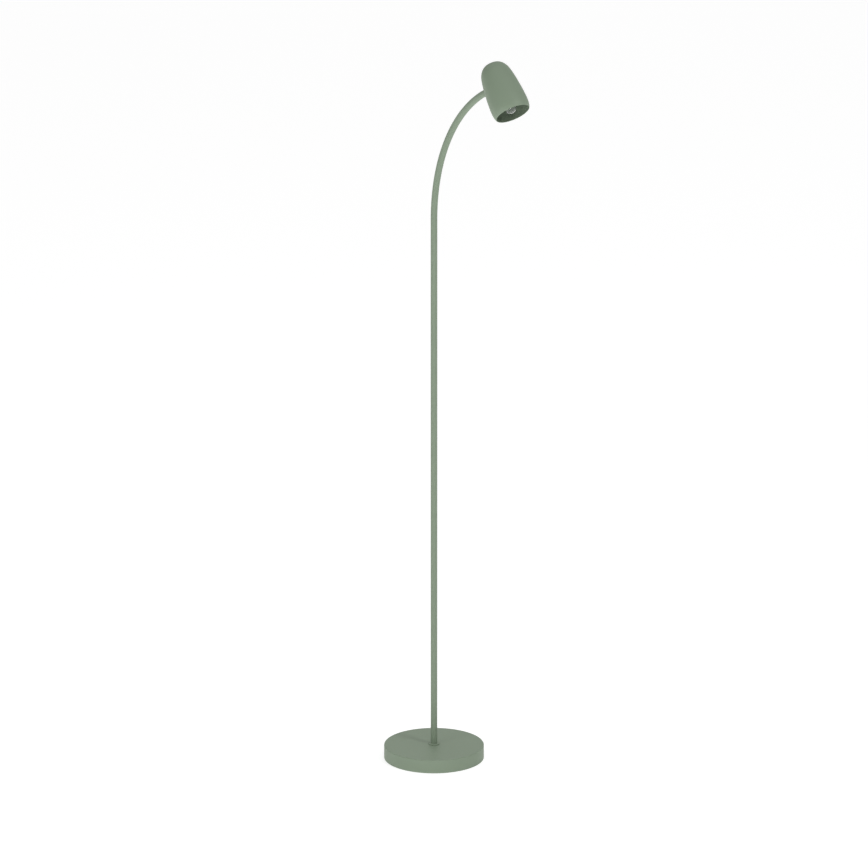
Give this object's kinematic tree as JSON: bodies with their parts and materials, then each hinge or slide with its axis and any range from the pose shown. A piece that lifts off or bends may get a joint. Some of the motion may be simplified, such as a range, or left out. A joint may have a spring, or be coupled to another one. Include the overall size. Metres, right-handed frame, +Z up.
{
  "type": "floor lamp",
  "caption": "Slim metal floor lamp: round weighted base, straight pole with a bent tube arm, and a small bell-shaped shade on a knuckle that swivels and tilts.",
  "frame": {"origin": "centre of the base's underside, on the floor", "axes": "+Z up along the pole, +X the way the arm bends, XZ the lamp's plane of symmetry"},
  "size_m": [0.4536, 0.23, 1.7],
  "materials": {
    "sage_paint": "matt powder coat, sage green",
    "cast_iron": "rough casting, black primer",
    "zinc_steel": "zinc plated",
    "brass": "bare",
    "foam_rubber": "closed-cell foam, matt black",
    "black_rubber": "moulded, matt black",
    "friction_fibre": "fibre washer, dark",
    "cream_plastic": "heat-proof moulding",
    "lead_sheath": "smooth sheath",
    "clear_glass": "clear",
    "bulb_wire": "bright wire"
  },
  "bodies": {
    "stand": {"floor_pad": "foam_rubber", "base_plate": "zinc_steel", "plate_screws": "zinc_steel", "base_weight": "cast_iron", "base_cover": "sage_paint", "cord_grommet": "black_rubber", "terminal_block": "cream_plastic", "terminal_screws": "brass", "stem_nipple": "zinc_steel", "stem_nut": "zinc_steel", "stem_washer": "zinc_steel", "foot_collar": "sage_paint", "foot_insert": "zinc_steel", "lower_pole": "sage_paint", "lower_stud": "zinc_steel", "upper_socket": "zinc_steel", "upper_pole": "sage_paint", "upper_stud": "zinc_steel", "arm_socket": "zinc_steel", "arm_tube": "sage_paint", "arm_end_bush": "zinc_steel", "pole_lead": "lead_sheath", "swivel_washer": "friction_fibre", "stop_pin": "zinc_steel"},
    "swivel": {"knuckle_base": "sage_paint", "swivel_clip": "zinc_steel", "friction_washer": "friction_fibre"},
    "head": {"knuckle_head": "sage_paint", "pivot_screw": "zinc_steel", "pivot_spring": "zinc_steel", "pivot_nut": "zinc_steel", "shade": "sage_paint", "shade_saddle": "sage_paint", "inner_saddle": "zinc_steel", "holder_bracket": "zinc_steel", "stud_nut": "zinc_steel", "lampholder": "cream_plastic", "holder_nipple": "zinc_steel", "holder_nut": "zinc_steel", "screw_shell": "brass", "centre_contact": "brass", "head_leads": "lead_sheath", "bulb_glass": "clear_glass", "bulb_cap": "zinc_steel", "bulb_tip": "brass", "bulb_stem": "clear_glass", "bulb_filament": "bulb_wire"}
  },
  "joints": [
    {"name": "head_swivel", "type": "hinge", "parent": "stand", "child": "swivel", "pos_m": [0.20213, 0, 1.61998], "axis": [0.8829, 0, 0.4695], "range_deg": [-160, 160]},
    {"name": "head_tilt", "type": "hinge", "parent": "swivel", "child": "head", "pos_m": [0.21273, 0, 1.62561], "axis": [0, -1, 0], "range_deg": [-75, 60]}
  ]
}
